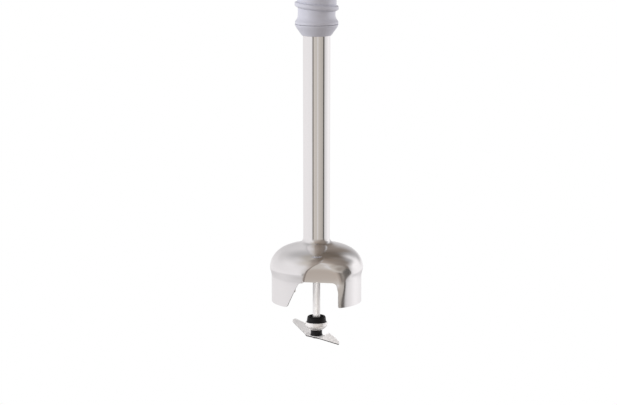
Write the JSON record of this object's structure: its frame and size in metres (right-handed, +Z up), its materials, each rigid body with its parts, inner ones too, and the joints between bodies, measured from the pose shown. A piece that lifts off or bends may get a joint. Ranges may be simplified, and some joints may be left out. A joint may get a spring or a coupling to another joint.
{
  "type": "immersion blender",
  "caption": "In-line immersion blender with a removable foot: ribbed grey grip, turning collar, long polished tube, windowed bell guard and a blade unit drawn out below.",
  "frame": {"origin": "on the drive axis, level with the flat ledge under the motor housing that a wall bracket carries", "axes": "+Z up along the drive axis towards the handle, -Y to the front (trigger and speed dial), +X to the right seen from the front"},
  "size_m": [0.1052, 0.1052, 0.716],
  "materials": {
    "grey_plastic": "satin moulded plastic, cool lilac-grey",
    "dark_plastic": "fine-textured moulded plastic",
    "red_plastic": "moulded plastic, semi-gloss",
    "soft_rubber": "matt, finely ribbed",
    "black_rubber": "smooth moulded rubber",
    "polished_steel": "polished stainless steel",
    "plain_steel": "turned",
    "iron": "stacked laminations",
    "copper": "enamelled copper wire",
    "bronze": "sintered bronze",
    "carbon": "pressed carbon",
    "circuit_board": "coated board"
  },
  "bodies": {
    "motor_unit": {"grip_sleeve": "grey_plastic", "motor_housing": "grey_plastic", "handle_shell_left": "grey_plastic", "handle_shell_right": "grey_plastic", "grip_pad": "soft_rubber", "top_cap": "dark_plastic", "inlet_bush": "black_rubber", "handle_screw_lower": "plain_steel", "handle_screw_upper": "plain_steel", "trigger_pin": "plain_steel", "trigger_spring": "plain_steel", "safety_spring": "plain_steel", "lock_spring": "plain_steel", "speed_potentiometer": "dark_plastic", "circuit_board": "circuit_board", "microswitch": "dark_plastic", "upper_motor_bracket": "plain_steel", "lower_motor_bracket": "plain_steel", "upper_bearing": "plain_steel", "lower_bearing": "plain_steel", "neck_bearing": "plain_steel", "stator_core": "iron", "field_coil_left": "copper", "field_coil_right": "copper", "brush_left": "carbon", "brush_right": "carbon", "brush_holder_left": "bronze", "brush_holder_right": "bronze"},
    "motor_rotor": {"rotor_core": "iron", "rotor_winding_top": "copper", "rotor_winding_bottom": "copper", "commutator": "copper", "motor_shaft": "plain_steel", "cooling_fan": "dark_plastic", "drive_dog": "plain_steel"},
    "foot": {"foot_flange": "polished_steel", "flange_gasket": "black_rubber", "foot_bearing_outer": "plain_steel", "foot_tube": "polished_steel", "bell_guard": "polished_steel", "bush_carrier": "polished_steel", "shaft_seal": "black_rubber", "lower_bush": "bronze", "retaining_ring": "plain_steel"},
    "collar": {"coupling_collar": "grey_plastic"},
    "foot_coupling": {"driven_dog": "plain_steel", "foot_bearing_inner": "plain_steel"},
    "blade_unit": {"drive_shaft": "polished_steel", "seal_cup": "polished_steel", "lip_seal": "black_rubber", "blade": "polished_steel", "blade_hub": "black_rubber", "blade_screw": "plain_steel"},
    "trigger": {"trigger": "dark_plastic"},
    "safety_button": {"safety_button": "red_plastic"},
    "lock_button": {"lock_button": "dark_plastic"},
    "speed_dial": {"speed_dial": "dark_plastic"}
  },
  "joints": [
    {"name": "motor_spin", "type": "hinge", "parent": "motor_unit", "child": "motor_rotor", "pos_m": [0, 0, 0], "axis": [0, 0, 1], "continuous": true},
    {"name": "foot_release", "type": "slide", "parent": "motor_unit", "child": "foot", "axis": [0, 0, -1], "range_m": [0, 0.006]},
    {"name": "collar_turn", "type": "hinge", "parent": "foot", "child": "collar", "pos_m": [0, 0, -0.1], "axis": [0, 0, 1], "range_deg": [0, 60.01]},
    {"name": "shaft_spin", "type": "hinge", "parent": "foot", "child": "foot_coupling", "pos_m": [0, 0, 0], "axis": [0, 0, 1], "continuous": true},
    {"name": "blade_withdrawal", "type": "slide", "parent": "foot_coupling", "child": "blade_unit", "axis": [0, 0, 1], "range_m": [-0.29, 0.052]},
    {"name": "trigger_press", "type": "hinge", "parent": "motor_unit", "child": "trigger", "pos_m": [0, -0.0215, 0.226], "axis": [1, 0, 0], "range_deg": [0, 4.5], "stiffness_Nm_per_rad": 1.2, "springref_deg": -4.58, "deforming": ["trigger_spring"]},
    {"name": "safety_press", "type": "slide", "parent": "motor_unit", "child": "safety_button", "axis": [0, -1, 0], "range_m": [0, 0.004], "stiffness_N_per_m": 400, "springref_m": -0.002, "deforming": ["safety_spring"]},
    {"name": "lock_press", "type": "slide", "parent": "motor_unit", "child": "lock_button", "axis": [1, 0, 0], "range_m": [0, 0.0025], "stiffness_N_per_m": 400, "springref_m": -0.002, "deforming": ["lock_spring"]},
    {"name": "speed_turn", "type": "hinge", "parent": "motor_unit", "child": "speed_dial", "pos_m": [0, -0.05, 0.04], "axis": [0, -1, 0], "range_deg": [-135, 135]}
  ],
  "couplings": [
    {"joint": "collar_turn", "follows": "foot_release", "rad_per_m": 174.53},
    {"joint": "shaft_spin", "follows": "motor_spin", "ratio": 1}
  ]
}
